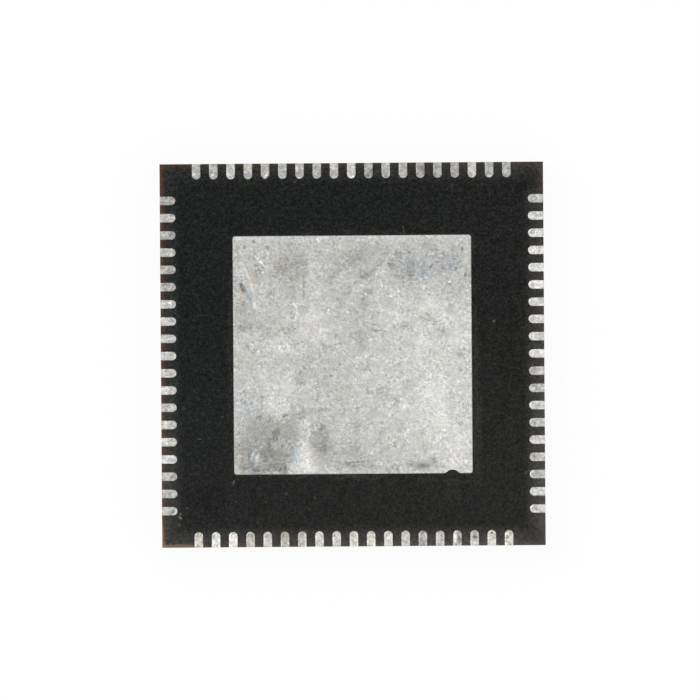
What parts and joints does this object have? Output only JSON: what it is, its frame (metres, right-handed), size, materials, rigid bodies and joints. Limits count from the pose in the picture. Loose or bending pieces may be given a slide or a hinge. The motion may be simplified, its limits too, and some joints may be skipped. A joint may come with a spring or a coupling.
{
  "type": "integrated circuit",
  "caption": "Square flat no-lead chip package lying on its marked face, with edge terminals, a notched exposed pad, and the die and bond wires inside.",
  "frame": {"origin": "middle of the marked face, which lies on the table, at the lowest point of the part", "axes": "+Z through the thickness, out of the terminal side and its exposed pad; +X and +Y along the sides, with terminal 1 at the +X end of the -Y side and the exposed pad's notch in the edge beside it"},
  "size_m": [0.0088, 0.0088, 0.0009],
  "materials": {
    "mould_compound": "matte black moulding compound with a fine filler grain",
    "matte_tin": "matte electroplated tin with a fine speckle",
    "copper": "etched and sawn bare copper",
    "silicon": "polished silicon",
    "silver_epoxy": "cured silver-filled epoxy",
    "gold": "drawn gold wire"
  },
  "bodies": {
    "root": {"mould_body": "mould_compound", "die_paddle": "copper", "pad_plating": "matte_tin", "leads_side_1": "copper", "leads_side_2": "copper", "leads_side_3": "copper", "leads_side_4": "copper", "plating_side_1": "matte_tin", "plating_side_2": "matte_tin", "plating_side_3": "matte_tin", "plating_side_4": "matte_tin", "silicon_die": "silicon", "die_attach": "silver_epoxy", "bond_wires_side_1": "gold", "bond_wires_side_2": "gold", "bond_wires_side_3": "gold", "bond_wires_side_4": "gold"}
  },
  "joints": []
}
